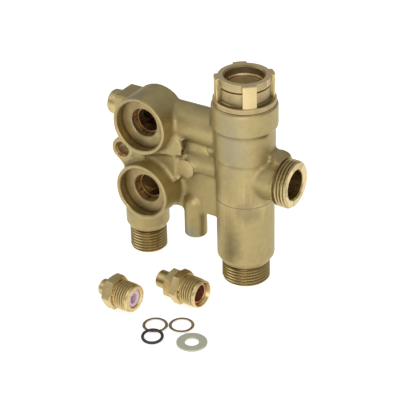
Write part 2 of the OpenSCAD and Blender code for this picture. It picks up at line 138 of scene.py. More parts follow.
class ValveColours(bpy.types.PropertyGroup):
    """Base colours of the finishes, in linear light."""

    cast: FloatVectorProperty(
        name="Cast brass", description="Shot blasted skin of the casting",
        subtype="COLOR", size=3, default=(0.405, 0.325, 0.150), min=0, max=1)
    machined: FloatVectorProperty(
        name="Machined brass", description="Turned faces and threads",
        subtype="COLOR", size=3, default=(0.62, 0.47, 0.20), min=0, max=1)
    # Real tarnish colour in the random specks; painted shade where it darkens the hollows.
    tarnish_and_shade: FloatVectorProperty(
        name="Tarnish", description="Dull film in the hollows of the brass",
        subtype="COLOR", size=3, default=(0.21, 0.16, 0.085), min=0, max=1)
    pink: FloatVectorProperty(
        name="Pink plastic", description="Ring of the flow restrictor",
        subtype="COLOR", size=3, default=(0.45, 0.27, 0.285), min=0, max=1)
    lilac: FloatVectorProperty(
        name="Lilac plastic", description="Core of the flow restrictor",
        subtype="COLOR", size=3, default=(0.41, 0.315, 0.375), min=0, max=1)


def sizes():
    return bpy.context.scene.valve_sizes


def colours():
    return bpy.context.scene.valve_colours


# ------------------------------------------------------------------ solids

def aimed(base, towards):
    """Matrix that lays the Z axis along a direction from a base point."""
    turned = Vector(towards).to_track_quat("Z", "Y").to_matrix().to_4x4()
    return Matrix.Translation(base) @ turned


def solid(shape, slot=0):
    """Makes an object from a bmesh, carrying the casting's three finishes."""
    bmesh.ops.recalc_face_normals(shape, faces=shape.faces)
    for face in shape.faces:
        face.material_index = slot
    mesh = bpy.data.meshes.new("solid")
    shape.to_mesh(mesh)
    shape.free()
    for finish in CASTING_FINISHES:
        mesh.materials.append(bpy.data.materials[finish])
    made = bpy.data.objects.new("solid", mesh)
    bpy.context.scene.collection.objects.link(made)
    return made


def supported(outline, ring):
    """Adds a point close to both ends of every long stretch, so that the rubbed brass and painted
    highlight stay at the edges.
    """
    margin = 0.3
    ends = outline[1:] + outline[:1] if ring else outline[1:]
    points = []
    for start, end in zip(map(Vector, outline), map(Vector, ends)):
        points.append(start)
        step = end - start
        if step.length > 3 * margin:
            points += [start + step.normalized() * margin, end - step.normalized() * margin]
    return points if ring else points + [Vector(outline[-1])]


def turned(outline, base=(0, 0, 0), towards=Z, ring=False, slot=0, steps=96):
    """Solid turned about an axis from (radius, distance along the axis) points."""
    shape = bmesh.new()
    points = [shape.verts.new((point.x, 0, point.y)) for point in supported(outline, ring)]
    pairs = list(zip(points, points[1:]))
    if ring:
        pairs.append((points[-1], points[0]))
    edges = [shape.edges.new(pair) for pair in pairs]
    bmesh.ops.spin(shape, geom=points + edges, cent=(0, 0, 0), axis=Z,
                   angle=2 * math.pi, steps=steps, use_merge=True)
    bmesh.ops.remove_doubles(shape, verts=shape.verts, dist=1e-4)
    bmesh.ops.transform(shape, matrix=aimed(base, towards), verts=shape.verts)
    return solid(shape, slot)


def rod(radius, start, end, slot=CUT):
    """Plain round rod between two points."""
    start, end = Vector(start), Vector(end)
    length = (end - start).length
    return turned([(0, 0), (radius, 0), (radius, length), (0, length)], start, end - start,
                  slot=slot)


def prism(sides, flats, low, high, base, towards, turn=0):
    """Prism with the given width across its flats, between two distances along an axis."""
    shape = bmesh.new()
    radius = flats / 2 / math.cos(math.pi / sides)
    place = aimed(base, towards) @ Matrix.Rotation(math.radians(turn), 4, "Z")
    place = place @ Matrix.Translation((0, 0, (low + high) / 2))
    bmesh.ops.create_cone(shape, cap_ends=True, segments=sides, radius1=radius, radius2=radius,
                          depth=high - low, matrix=place)
    return shape


def block(size, place, bevel):
    """Box with softened edges."""
    shape = bmesh.new()
    bmesh.ops.create_cube(shape, size=1, matrix=place @ Matrix.Diagonal((*size, 1)))
    soften(shape, bevel)
    return solid(shape)


def soften(shape, width):
    """Bevels every edge of a bmesh."""
    bmesh.ops.bevel(shape, geom=shape.edges[:], offset=width, offset_type="OFFSET",
                    affect="EDGES", segments=3, profile=0.5, material=-1)


def applied(piece):
    """Turns a piece's modifiers into its mesh."""
    graph = bpy.context.evaluated_depsgraph_get()
    mesh = bpy.data.meshes.new_from_object(piece.evaluated_get(graph))
    piece.modifiers.clear()
    piece.data = mesh
    return piece


def combine(piece, tool, operation):
    """Adds, cuts or intersects a solid with another one, which is used up."""
    step = piece.modifiers.new(operation, "BOOLEAN")
    step.operation = operation
    step.solver = "MANIFOLD"
    step.object = tool
    applied(piece)
    bpy.data.objects.remove(tool)
    return piece


def thread(major, pitch, low, high, base, towards, depth=0.64, steps=90):
    """Rod with a helical thread between two distances along an axis, cut square at both ends."""
    shape = bmesh.new()
    per_pitch = 10
    teeth = math.ceil((high - low) / pitch) + 3
    points = []
    for index in range(teeth * per_pitch + 1):
        along = index / per_pitch
        wave = abs(2 * (along % 1) - 1)
        height = min(1, max(0, 1.35 * wave - 0.22))
        radius = major / 2 - depth * pitch * (1 - height)
        points.append(shape.verts.new((radius, 0, low + (along - 2) * pitch)))
    edges = [shape.edges.new(pair) for pair in zip(points, points[1:])]
    bmesh.ops.spin(shape, geom=points + edges, cent=(0, 0, 0), axis=Z, dvec=Z * pitch / steps,
                   angle=2 * math.pi, steps=steps, use_merge=False)
    bmesh.ops.remove_doubles(shape, verts=shape.verts, dist=1e-4)
    for level, outwards in ((low, -Z), (high, Z)):
        bmesh.ops.bisect_plane(shape, geom=shape.verts[:] + shape.edges[:] + shape.faces[:],
                               plane_co=Z * level, plane_no=outwards, clear_outer=True)
    rims = [edge for edge in shape.edges if edge.is_boundary]
    bmesh.ops.holes_fill(shape, edges=rims, sides=0)
    bmesh.ops.transform(shape, matrix=aimed(base, towards), verts=shape.verts)
    return solid(shape)


def deliver(piece, name, body, slot, finish, *replaced):
    """Hands a piece over to the frame: metres, shading, finish and body; the slot argument is not
    used.
    """
    piece.name = name
    piece.data.name = name
    piece.data.transform(Matrix.Scale(MM, 4))
    materials = piece.data.materials
    if finish:
        materials[0] = bpy.data.materials[finish]
    last_used = max(face.material_index for face in piece.data.polygons)
    while len(materials) > last_used + 1:
        materials.pop()
    piece.data.shade_smooth()
    piece.data.set_sharp_from_angle(angle=math.radians(32))
    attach(piece, body)
    if replaced:
        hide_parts(*replaced)
    return piece


# ------------------------------------------------------------------ finishes

def place(tree, kind, inputs=(), **settings):
    """Adds a shader node; an input is a plain value or another node's output."""
    made = tree.nodes.new("ShaderNode" + kind)
    for name, value in settings.items():
        setattr(made, name, value)
    for socket, value in dict(inputs).items():
        if isinstance(value, bpy.types.NodeSocket):
            tree.links.new(value, made.inputs[socket])
        else:
            made.inputs[socket].default_value = value
    return made


def group(name, inputs, outputs):
    """Starts a shader node group; gives its tree, its input node and its output node."""
    tree = bpy.data.node_groups.new(name, "ShaderNodeTree")
    for title, kind, default in inputs:
        socket = tree.interface.new_socket(title, in_out="INPUT", socket_type="NodeSocket" + kind)
        socket.default_value = default
    for title in outputs:
        tree.interface.new_socket(title, in_out="OUTPUT", socket_type="NodeSocketFloat")
    return tree, tree.nodes.new("NodeGroupInput"), tree.nodes.new("NodeGroupOutput")


def object_point(tree):
    return place(tree, "TexCoord").outputs["Object"]


def maths(tree, operation, first, second=0.0, clamp=False):
    node = place(tree, "Math", {0: first, 1: second}, operation=operation, use_clamp=clamp)
    return node.outputs[0]


def ranged(tree, value, low, high, to_low=0.0, to_high=1.0):
    node = place(tree, "MapRange", {"Value": value, "From Min": low, "From Max": high,
                                    "To Min": to_low, "To Max": to_high})
    return node.outputs["Result"]


def noise(tree, scale, detail=3.0, roughness=0.55, point=None):
    node = place(tree, "TexNoise", {"Vector": point or object_point(tree), "Scale": scale,
                                    "Detail": detail, "Roughness": roughness})
    return node.outputs[0]


def make_sand_grain():
    """Group: the pebbled height and the cloudy tone of a shot blasted casting."""
    tree, given, out = group("sand_grain", [("Grain", "Float", 900.0), ("Cloud", "Float", 60.0)],
                             ["Height", "Tone"])
    fine = noise(tree, given.outputs["Grain"], 3.0, 0.6)
    coarse = noise(tree, given.outputs["Cloud"], 4.0, 0.6)
    dimple = place(tree, "TexVoronoi", {"Vector": object_point(tree),
                                        "Scale": given.outputs["Grain"]}, feature="SMOOTH_F1")
    height = maths(tree, "ADD", fine, maths(tree, "MULTIPLY", dimple.outputs[0], 0.5))
    tree.links.new(height, out.inputs["Height"])
    tree.links.new(coarse, out.inputs["Tone"])


def make_wear_light_masks():
    """Group: masks for bright convex edges and dark inner corners, partly rubbed brass and grime,
    partly painted highlight and painted shade.
    """
    tree, given, out = group("wear_light_masks", [("Edge", "Float", 0.53), ("Hollow", "Float", 0.47)],
                             ["Worn", "Dirt and shade"])
    bend = place(tree, "NewGeometry").outputs["Pointiness"]
    wear_and_highlight = place(tree, "MapRange", {"Value": bend, "From Min": 0.502,
                                    "From Max": given.outputs["Edge"]})
    dirt_and_shade = place(tree, "MapRange", {"Value": bend, "From Min": 0.498,
                                    "From Max": given.outputs["Hollow"]})
    tree.links.new(wear_and_highlight.outputs[0], out.inputs["Worn"])
    tree.links.new(dirt_and_shade.outputs[0], out.inputs["Dirt and shade"])


def make_stain_patch():
    """Group: a ragged stain around a point, drawn out downwards."""
    tree, given, out = group("stain_patch", [("Middle", "Vector", (0, 0, 0)),
                                             ("Reach", "Float", 0.01), ("Run", "Float", 0.4)],
                             ["Mask"])
    point = object_point(tree)
    away = place(tree, "VectorMath", {0: point, 1: given.outputs["Middle"]}, operation="SUBTRACT")
    parts = place(tree, "SeparateXYZ", {0: away.outputs[0]})
    drawn = place(tree, "CombineXYZ", {0: parts.outputs[0], 1: parts.outputs[1]})
    tree.links.new(maths(tree, "MULTIPLY", parts.outputs[2], given.outputs["Run"]), drawn.inputs[2])
    length = place(tree, "VectorMath", {0: drawn.outputs[0]}, operation="LENGTH")
    near = maths(tree, "DIVIDE", length.outputs["Value"], given.outputs["Reach"])
    ragged = noise(tree, 160.0, 5.0, 0.65)
    edge = maths(tree, "ADD", near, maths(tree, "MULTIPLY", ragged, 1.4))
    tree.links.new(ranged(tree, edge, 1.75, 1.1), out.inputs["Mask"])


def use(tree, name, **inputs):
    """Places a node group with its own values."""
    node = tree.nodes.new("ShaderNodeGroup")
    node.node_tree = bpy.data.node_groups[name]
    for title, value in inputs.items():
        node.inputs[title].default_value = value
    return node


def blended(tree, share, first, second):
    """Colour between two colours, by a mask or a plain share."""
    node = place(tree, "Mix", {0: share, 6: first, 7: second}, data_type="RGBA")
    return node.outputs[2]


def rgba(colour, share=1.0):
    """Colour socket value, made darker or lighter by a share."""
    return (*(part * share for part in colour), 1.0)


def new_finish(name, colour, roughness, metallic):
    """Material with a Principled shader; gives its tree and the shader."""
    material = bpy.data.materials.new(name)
    material.use_nodes = True
    shader = material.node_tree.nodes["Principled BSDF"]
    shader.inputs["Base Color"].default_value = rgba(colour)
    shader.inputs["Roughness"].default_value = roughness
    shader.inputs["Metallic"].default_value = metallic
    return material.node_tree, shader


def bump(tree, shader, height, strength, distance):
    node = place(tree, "Bump", {"Height": height, "Strength": strength, "Distance": distance})
    tree.links.new(node.outputs[0], shader.inputs["Normal"])


def make_cast_skin():
    """Shot blasted brass casting with stains."""
    tone = colours()
    tree, shader = new_finish("cast_skin", tone.cast, 0.48, 1.0)
    grain = use(tree, "sand_grain", Grain=1000.0, Cloud=75.0)
    wear_and_light = use(tree, "wear_light_masks", Edge=0.545, Hollow=0.455)
    cloudy = ranged(tree, grain.outputs["Tone"], 0.32, 0.68)
    colour = blended(tree, cloudy, rgba(tone.cast, 0.84), rgba(tone.cast, 1.10))
    rub = ranged(tree, noise(tree, 330.0, 5.0, 0.75), 0.38, 0.66, 0.0, 0.5)
    colour = blended(tree, rub, colour, rgba(tone.cast, 1.22))
    speck = ranged(tree, noise(tree, 420.0, 4.0, 0.7), 0.62, 0.78, 0.0, 0.35)
    colour = blended(tree, speck, colour, rgba(tone.tarnish_and_shade))
    # Hollows darkened towards the tarnish colour: grime and painted shade.
    dirt_and_shade = maths(tree, "MULTIPLY", wear_and_light.outputs["Dirt and shade"], 0.65)
    colour = blended(tree, dirt_and_shade, colour, rgba(tone.tarnish_and_shade))
    # Convex edges lightened to pale brass: rubbed brass and painted highlight.
    wear_and_highlight = maths(tree, "MULTIPLY", wear_and_light.outputs["Worn"], 0.5)
    colour = blended(tree, wear_and_highlight, colour, rgba((0.60, 0.47, 0.24)))
    for middle, reach, run, stain, share in STAINS:
        patch = use(tree, "stain_patch", Middle=middle, Reach=reach, Run=run)
        mask = maths(tree, "MULTIPLY", patch.outputs["Mask"], share)
        colour = blended(tree, mask, colour, rgba(stain))
    tree.links.new(colour, shader.inputs["Base Color"])
    rough = ranged(tree, grain.outputs["Tone"], 0.3, 0.7, 0.42, 0.56)
    tree.links.new(rough, shader.inputs["Roughness"])
    bump(tree, shader, grain.outputs["Height"], 0.55, 0.00014)


# middle in metres, reach in metres, how little it runs down, colour, strength
STAINS = [
    ((0.0020, -0.0160, 0.090), 0.009, 0.35, (0.27, 0.27, 0.23), 0.35),
    ((0.0086, -0.0132, 0.050), 0.008, 0.80, (0.19, 0.155, 0.09), 0.5),
    ((0.0005, -0.0158, 0.025), 0.007, 0.90, (0.20, 0.165, 0.10), 0.45),
    ((-0.0325, -0.0060, 0.019), 0.007, 0.90, (0.24, 0.28, 0.23), 0.65),
    ((-0.0700, -0.0100, 0.034), 0.009, 0.60, (0.26, 0.21, 0.12), 0.50),
    ((-0.0600, -0.0150, 0.100), 0.008, 0.90, (0.32, 0.28, 0.20), 0.50),
]


def make_turned_brass(name, colour, roughness, ridge, grime_and_shade, rub_and_highlight):
    """Machined brass: bright crests, duller in its grooves; the grooves darken as grime and painted
    shade, the crests lighten as rubbed brass and painted highlight.
    """
    tree, shader = new_finish(name, colour, roughness, 1.0)
    wear_and_light = use(tree, "wear_light_masks", Edge=0.56, Hollow=0.44)
    patchy = ranged(tree, noise(tree, 130.0, 4.0, 0.6), 0.35, 0.68)
    base = blended(tree, patchy, rgba(colour), rgba(colour, 0.82))
    # Hollows darkened towards the tarnish colour: grime and painted shade.
    base = blended(tree, maths(tree, "MULTIPLY", wear_and_light.outputs["Dirt and shade"], grime_and_shade), base,
                   rgba(colours().tarnish_and_shade))
    # Edges lightened to pale brass: rubbed brass and painted highlight.
    base = blended(tree, maths(tree, "MULTIPLY", wear_and_light.outputs["Worn"], rub_and_highlight), base,
                   rgba((0.80, 0.63, 0.33)))
    tree.links.new(base, shader.inputs["Base Color"])
    rough = ranged(tree, noise(tree, 260.0, 3.0, 0.6), 0.3, 0.7, roughness * 0.75, roughness * 1.3)
    tree.links.new(rough, shader.inputs["Roughness"])
    bump(tree, shader, noise(tree, 1500.0, 2.0, 0.5), ridge, 0.00005)


def make_plain(name, colour, roughness, metallic, mottle, scale, highlight):
    """Simple finish with a faint mottle and grain."""
    tree, shader = new_finish(name, colour, roughness, metallic)
    shader.inputs["Specular IOR Level"].default_value = highlight
    shade = ranged(tree, noise(tree, scale, 4.0, 0.6), 0.3, 0.7)
    mottled = blended(tree, shade, rgba(colour, 1 - mottle), rgba(colour))
    tree.links.new(mottled, shader.inputs["Base Color"])
    bump(tree, shader, noise(tree, scale * 5, 2.0, 0.5), 0.15, 0.00005)


def make_washer_metal():
    """Flat ring: bronze faces and pale, pinkish walls."""
    tree, shader = new_finish("washer_metal", (0.30, 0.25, 0.19), 0.42, 0.8)
    up = place(tree, "SeparateXYZ", {0: place(tree, "TexCoord").outputs["Normal"]}).outputs[2]
    flat = ranged(tree, maths(tree, "ABSOLUTE", up), 0.45, 0.75)
    shade = ranged(tree, noise(tree, 350.0, 4.0, 0.6), 0.3, 0.7)
    face = blended(tree, shade, rgba((0.27, 0.22, 0.16)), rgba((0.40, 0.34, 0.26)))
    colour = blended(tree, flat, rgba((0.78, 0.72, 0.70)), face)
    tree.links.new(colour, shader.inputs["Base Color"])


# name, colour, roughness, height of the tool marks, grime and painted shade in the hollows, rubbed
# brass and painted highlight on the edges
TURNED_BRASSES = (
    ("faced_brass", (0.37, 0.285, 0.14), 0.42, 0.25, 0.0, 0.0),
    ("thread_brass", (0.42, 0.325, 0.145), 0.28, 0.05, 1.0, 0.7),
    # deep bores: dark reddish brown brass as painted shade
    ("dark_bore", (0.24, 0.13, 0.05), 0.45, 0.20, 0.5, 0.7),
    ("collar_brass", (0.34, 0.265, 0.13), 0.40, 0.10, 0.5, 0.7),
    ("union_brass", (0.52, 0.41, 0.19), 0.36, 0.05, 0.7, 0.7),
)

# name, colour, roughness, metallic, mottle, its scale, highlight
PLAIN_FINISHES = (
    ("steel", (0.45, 0.44, 0.41), 0.32, 1.0, 0.25, 300.0, 0.5),
    ("rubber", (0.004, 0.004, 0.0045), 0.7, 0.0, 0.2, 300.0, 0.15),
    ("moulded_plastic", (0.62, 0.58, 0.50), 0.5, 0.0, 0.1, 300.0, 0.5),
    ("copper", (0.72, 0.47, 0.34), 0.55, 0.4, 0.2, 300.0, 0.5),
    ("fibre", (0.29, 0.285, 0.215), 0.75, 0.0, 0.25, 500.0, 0.5),
)


class VALVE_OT_finishes(bpy.types.Operator):
    """Shared effects and the finishes of every piece"""

    bl_idname = "valve.finishes"
    bl_label = "Finishes"

    def execute(self, context):
        make_sand_grain()
        make_wear_light_masks()
        make_stain_patch()
        make_cast_skin()
        make_turned_brass("turned_brass", colours().machined, 0.30, 0.10, 0.7, 0.7)
        for row in TURNED_BRASSES:
            make_turned_brass(*row)
        for row in PLAIN_FINISHES:
            make_plain(*row)
        make_plain("pink_plastic", colours().pink, 0.5, 0.0, 0.12, 300.0, 0.5)
        make_plain("lilac_plastic", colours().lilac, 0.5, 0.0, 0.12, 300.0, 0.5)
        make_washer_metal()
        return {"FINISHED"}


SLOT_FINISH = {
    "cast_brass": "cast_skin", "machined_brass": "turned_brass", "steel": "steel",
    "rubber": "rubber", "plastic": "moulded_plastic", "pink_plastic": "pink_plastic",
    "pale_plastic": "lilac_plastic", "copper": "copper", "bronze_washer": "washer_metal",
    "fibre": "fibre",
}


# ------------------------------------------------------------------ casting

def slab(shape, outline, front, back):
    """Adds an upright plate to a bmesh, from (x, z) points and its two depths."""
    near = [shape.verts.new((x, front, z)) for x, z in outline]
    far = [shape.verts.new((x, back, z)) for x, z in outline]
    shape.faces.new(near)
    shape.faces.new(reversed(far))
    for index in range(len(outline)):
        shape.faces.new((near[index - 1], far[index - 1], far[index], near[index]))


def trimmed_casting():
    """The CAD casting with its plate leaning back towards the pipes and its block cut back."""
    shape = bmesh.new()
    shape.from_mesh(frame["nodes"]["valve_body"].data)
    bmesh.ops.scale(shape, vec=(1 / MM,) * 3, verts=shape.verts)
    bmesh.ops.remove_doubles(shape, verts=shape.verts, dist=1e-3)
    piece = solid(shape)
    lean = Matrix.Translation((EAR.x, EAR.y, 0)) @ Matrix.Rotation(math.radians(PLATE_LEAN), 4, "Z")
    over_plate = block((42, 8, 32), lean @ Matrix.Translation((21.5, -4, 68)), 0.1)
    combine(piece, over_plate, "DIFFERENCE")
    beyond_block = block((10, 30, 30), Matrix.Translation((BLOCK_X - 5, 0, UPPER_Z)), 0.1)
    return combine(piece, beyond_block, "DIFFERENCE")


def filled_casting():
    """The casting's outside alone: its openings are plugged and its hidden hollows filled."""
    piece = trimmed_casting()
    shape = bmesh.new()
    shape.from_mesh(piece.data)
    bpy.data.objects.remove(piece)
    slab(shape, [(-66, 50), (-42, 50), (-38.5, 56), (-38, 76), (-44, 81), (-66, 78)], -10.5, -2)
    slab(shape, [(-39, PORT_Z), (-39, 77.5), (-25.7, 77.5), (-21.8, 75.4), (-18, 70.7),
                 (-16, PORT_Z)], -5.2, 0)
    plugs = [
        (EAR_R, (EAR.x, EAR.y + 0.02, EAR.z), (EAR.x, -7, EAR.z)),
        (11, (0, 0, 0.5), (0, 0, 20)), (15, (0, 0, 90), (0, 0, BARREL_TOP - 0.5)),
        (8.6, (RETURN_X, 0, 0.5), (RETURN_X, 0, 20)),
        (9.6, (20, 0, PORT_Z), (PORT_X - 0.4, 0, PORT_Z)),
        (7, (BLOCK_X + 0.5, 0, UPPER_Z), (BLOCK_X + 10, 0, UPPER_Z)),
        (2.6, (POST_X, 0, 18), (POST_X, 0, 33)),
    ]
    for level in (LOWER_Z, UPPER_Z):
        plugs.append((SOCKET_R, (SOCKET_X, SOCKET_Y + 0.1, level), (SOCKET_X, -8, level)))
    for radius, start, end in plugs:
        start, end = Vector(start), Vector(end)
        bmesh.ops.create_cone(shape, cap_ends=True, segments=48, radius1=radius, radius2=radius,
                              depth=(end - start).length,
                              matrix=aimed((start + end) / 2, end - start))
    return solid(shape)


def sand_cast(piece):
    """Rounds the inner corners by growing and shrinking the skin, then softens the outer ones."""
    grain, fillet = sizes().grain, sizes().fillet
    for change in (fillet, -fillet):
        skin = piece.modifiers.new("skin", "REMESH")
        skin.mode = "VOXEL"
        skin.voxel_size = grain
        grow = piece.modifiers.new("grow", "DISPLACE")
        grow.direction = "NORMAL"
        grow.mid_level = 0
        grow.strength = change
    calm = piece.modifiers.new("calm", "SMOOTH")
    calm.factor = 0.5
    calm.iterations = 5
    applied(piece)
    thin = piece.modifiers.new("thin", "DECIMATE")
    thin.ratio = min(1, sizes().casting_triangles / (2 * len(piece.data.polygons)))
    return applied(piece)


def cast_details(piece):
    """Adds the crisp lug and pad that the sand would blur."""
    lug = prism(8, 11.6 * math.cos(math.pi / 8), 0, 9.2, (-32.9, 0, 62.4), -Y, 22.5)
    soften(lug, 0.35)
    combine(piece, solid(lug), "UNION")
    place_pad = Matrix.Translation((SOCKET_X, -5.5, LOWER_Z))
    place_pad = place_pad @ Matrix.Rotation(math.radians(-37), 4, "Y")
    pad = block((6, 9, 8.5), place_pad @ Matrix.Translation((17, 0, 0)), 0.6)
    return combine(piece, pad, "UNION")


def machine_sockets(piece):
    """Faces both sockets and cuts their gasket cups, grooves and stepped holes."""
    cup = [(0, -3), (14.9, -3), (14.9, 0), (14.3, 0.5), (14.3, 6.3), (13.5, 6.3), (13.5, 5.7),
           (8.5, 5.7), (8.05, 6.15), (0, 6.15)]
    hole = [(0, 5), (8.1, 5), (8.1, 10.7), (6.9, 10.7), (6.9, 21), (0, 21)]
    for level in (LOWER_Z, UPPER_Z):
        face = Vector((SOCKET_X, SOCKET_Y, level))
        combine(piece, rod(20, face - 3 * Y, face + 0.03 * Y), "DIFFERENCE")
        combine(piece, turned(cup, face, Y, slot=CUT), "DIFFERENCE")
        combine(piece, turned(hole, face, Y, slot=BORE), "DIFFERENCE")


def machine_bores(piece):
    """Cuts the spigots' ends off for their threads and drills every water way."""
    combine(piece, rod(15.5, (0, 0, -2), (0, 0, 12.3)), "DIFFERENCE")
    combine(piece, rod(12, (RETURN_X, 0, -2), (RETURN_X, 0, 14.7)), "DIFFERENCE")
    combine(piece, rod(13.9, (PORT_X - 7.3, 0, PORT_Z), (PORT_X + 2, 0, PORT_Z)), "DIFFERENCE")
    barrel = [(0, -1), (10.05, -1), (10.05, 49), (11.6, 49), (11.6, 98), (13.6, 98),
              (13.6, BARREL_TOP + 2), (0, BARREL_TOP + 2)]
    combine(piece, turned(barrel, slot=BORE), "DIFFERENCE")
    bypass = [(0, 0), (5.5, 0), (5.5, 37), (4, 37), (4, 40), (0, 40)]
    combine(piece, turned(bypass, (0, 0, PORT_Z), -X, slot=BORE), "DIFFERENCE")
    upper = [(0, 0), (7, 0), (7, 60), (4.5, 60), (4.5, 70.2), (5.85, 70.2), (5.85, 82), (0, 82)]
    combine(piece, turned(upper, (0, 0, UPPER_Z), -X, slot=BORE), "DIFFERENCE")
    for radius, start, end in (
            (8.15, (0, 0, PORT_Z), (PORT_X, 0, PORT_Z)),
            (7.55, (RETURN_X, 0, -1), (RETURN_X, 0, 48.6)),
            (2.5, (-38, 0, 65), (-50.7, 0, 52.3)), (2.1, (POST_X, 0, 16), (POST_X, 0, 31.5))):
        combine(piece, rod(radius, start, end, BORE), "DIFFERENCE")
    ear = [(0, -2), (4.7, -2), (4.7, 0), (3.6, 1.1), (3.6, 10), (0, 10)]
    combine(piece, turned(ear, EAR - 0.05 * Y, Y, slot=BORE), "DIFFERENCE")


def scribe_seam(piece):
    """Fine groove round the front of the barrel, where the core box was split."""
    groove = turned([(15.65, 51.2), (16.6, 51.2), (16.6, 51.6), (15.65, 51.6)], ring=True)
    away = block((40, 40, 4), Matrix.Translation((-31, 0, 51.5)), 0.1)
    combine(piece, combine(groove, away, "DIFFERENCE"), "DIFFERENCE")


class VALVE_OT_casting(bpy.types.Operator):
    """Casting: barrel, sockets, pipes, web, ear and post in one sand cast skin"""

    bl_idname = "valve.casting"
    bl_label = "Casting"

    def execute(self, context):
        piece = sand_cast(filled_casting())
        cast_details(piece)
        machine_sockets(piece)
        machine_bores(piece)
        scribe_seam(piece)
        deliver(piece, "casting", "body", "cast_brass", None, "valve_body")
        return {"FINISHED"}


# ------------------------------------------------------------------ threads on the casting

def threaded_spigot(name, major, pitch, length, root, bore, base, inwards, chamfer=1.1):
    """Threaded end: relief at its shoulder, chamfered start and a chamfered bore."""
    end = length + 1.6
    piece = thread(major, pitch, 0, end, base, inwards)
    relief = major / 2 - 0.64 * pitch - 0.05
    envelope = [(0, 0), (major / 2 - chamfer, 0), (major / 2 + 0.1, chamfer + 0.1),
                (major / 2 + 0.1, length - 1.2), (relief, length - 0.7), (relief, length + 0.1),
                (root, length + 0.4), (root, end), (0, end)]
    combine(piece, turned(envelope, base, inwards), "INTERSECT")
    hole = [(0, -1), (bore + 0.8, -1), (bore + 0.8, 0), (bore, 0.8), (bore, end + 1), (0, end + 1)]
    combine(piece, turned(hole, base, inwards), "DIFFERENCE")
    return piece


class VALVE_OT_threads(bpy.types.Operator):
    """Threads of the flow spigot, the return spigot and the side port, and the smooth nipple"""

    bl_idname = "valve.threads"
    bl_label = "Threads"

    def execute(self, context):
        size = sizes()
        pitch = size.pipe_pitch
        flow = threaded_spigot("flow", size.flow_diameter, pitch, 12, 12.9, 10, (0, 0, 0), Z)
        deliver(flow, "flow_thread", "body", "machined_brass", "thread_brass")
        back = threaded_spigot("return", size.return_diameter, pitch, 14.4, 10.2, 7.5,
                               (RETURN_X, 0, 0), Z)
        deliver(back, "return_thread", "body", "machined_brass", "thread_brass")
        side = threaded_spigot("side", size.flow_diameter, pitch, 7.2, 12.3, 8.1,
                               (PORT_X, 0, PORT_Z), -X)
        deliver(side, "side_port_thread", "body", "machined_brass", "thread_brass")
        radius = size.nipple_diameter / 2
        nipple = [(3.5, 0.5), (4.0, 0), (radius - 1.6, 0), (radius - 0.7, 0.35),
                  (radius - 0.15, 1.2), (radius, 2.2), (radius, 7.5), (5.8, 7.5), (5.8, 15.1),
                  (3.5, 15.1)]
        nipple = turned(nipple, (NIPPLE_X, 0, UPPER_Z), X, ring=True)
        deliver(nipple, "smooth_nipple", "body", "machined_brass", "union_brass", "side_nipple")
        return {"FINISHED"}


# ------------------------------------------------------------------ collar

class VALVE_OT_collar(bpy.types.Operator):
    """Collar with four lugs that the actuator clips onto"""

    bl_idname = "valve.collar"
    bl_label = "Actuator collar"

    def execute(self, context):
        top = COLLAR_TOP
        low = BARREL_TOP
        lip = top - 5
        outline = [(0, low - 7.5), (13.5, low - 7.5), (13.5, low + 0.02), (16.6, low + 0.02),
                   (16.9, low + 0.3), (16.9, low + 2.5), (16.5, low + 2.9), (14.2, low + 2.9),
                   (13.7, low + 3.4), (13.7, lip - 0.6), (12.9, lip - 0.2), (12.9, lip + 0.5),
                   (14.15, lip + 0.9), (14.15, top - 0.2), (13.95, top), (0, top)]
        piece = turned(outline, steps=128)
        envelope = [(0, low + 1), (16.1, low + 1), (16.1, top - 0.45), (15.7, top), (0, top)]
        for angle in (41, 131):
            place_lug = Matrix.Rotation(math.radians(angle), 4, "Z")
            place_lug = place_lug @ Matrix.Translation((0, 0, (low + top) / 2 + 1))
            lug = block((40, 7.4, top - low + 1), place_lug, 0.45)
            combine(lug, turned(envelope, steps=128), "INTERSECT")
            combine(piece, lug, "UNION")
        mouth = [(0, top - 4.4), (10.6, top - 4.4), (10.6, top - 0.9), (11.5, top + 0.1),
                 (0, top + 0.1)]
        combine(piece, turned(mouth, steps=128, slot=CUT), "DIFFERENCE")
        bore = [(0, low - 9), (9, low - 9), (9, top - 6), (9.5, top - 5.7), (10.2, top - 4.4),
                (10.2, top - 4), (0, top - 4)]
        combine(piece, turned(bore, steps=128, slot=BORE), "DIFFERENCE")
        seat = [(12, low - 2), (14.2, low - 2), (14.2, low), (12, low)]
        combine(piece, turned(seat, ring=True), "DIFFERENCE")
        deliver(piece, "collar", "body", "machined_brass", "collar_brass", "actuator_collar")
        return {"FINISHED"}


# ------------------------------------------------------------------ loose unions

def laid_line(middle, turn, length):
    """Start point and direction of a union that lies on the floor."""
    along = Vector((math.cos(math.radians(turn)), math.sin(math.radians(turn)), 0))
    return Vector((*middle, UNION_Z)) - along * length / 2, along


def lens_hexagon(flats, low, high, base, along, turn=FLAT_DOWN):
    """Hexagon with both faces chamfered to a circle."""
    shape = prism(6, flats, low, high, base, along, turn)
    soften(shape, 0.12)
    piece = solid(shape)
    edge = flats / 2
    lens = [(0, low), (edge - 0.1, low), (edge + 1.5, low + 0.95), (edge + 1.5, high - 0.95),
            (edge - 0.1, high), (0, high)]
    return combine(piece, turned(lens, base, along), "INTERSECT")


def union_thread(low, high, base, along):
    """Fine thread from its relief at the hexagon to the smooth rounded collar at the mouth."""
    size = sizes()
    major = size.union_diameter
    piece = thread(major, size.union_pitch, low - 0.5, high, base, along)
    envelope = [(0, low - 0.5), (7.3, low - 0.5), (7.3, low + 0.8), (major / 2 + 0.1, low + 1.4),
                (major / 2 + 0.1, high - 2.6), (7.2, high - 2.2), (7.2, high), (0, high)]
    combine(piece, turned(envelope, base, along), "INTERSECT")
    collar = [(0, high - 2.3), (7.3, high - 2.3), (7.65, high - 1.9), (7.75, high - 1.2),
              (7.65, high - 0.5), (7.1, high), (0, high)]
    return combine(piece, turned(collar, base, along), "UNION")


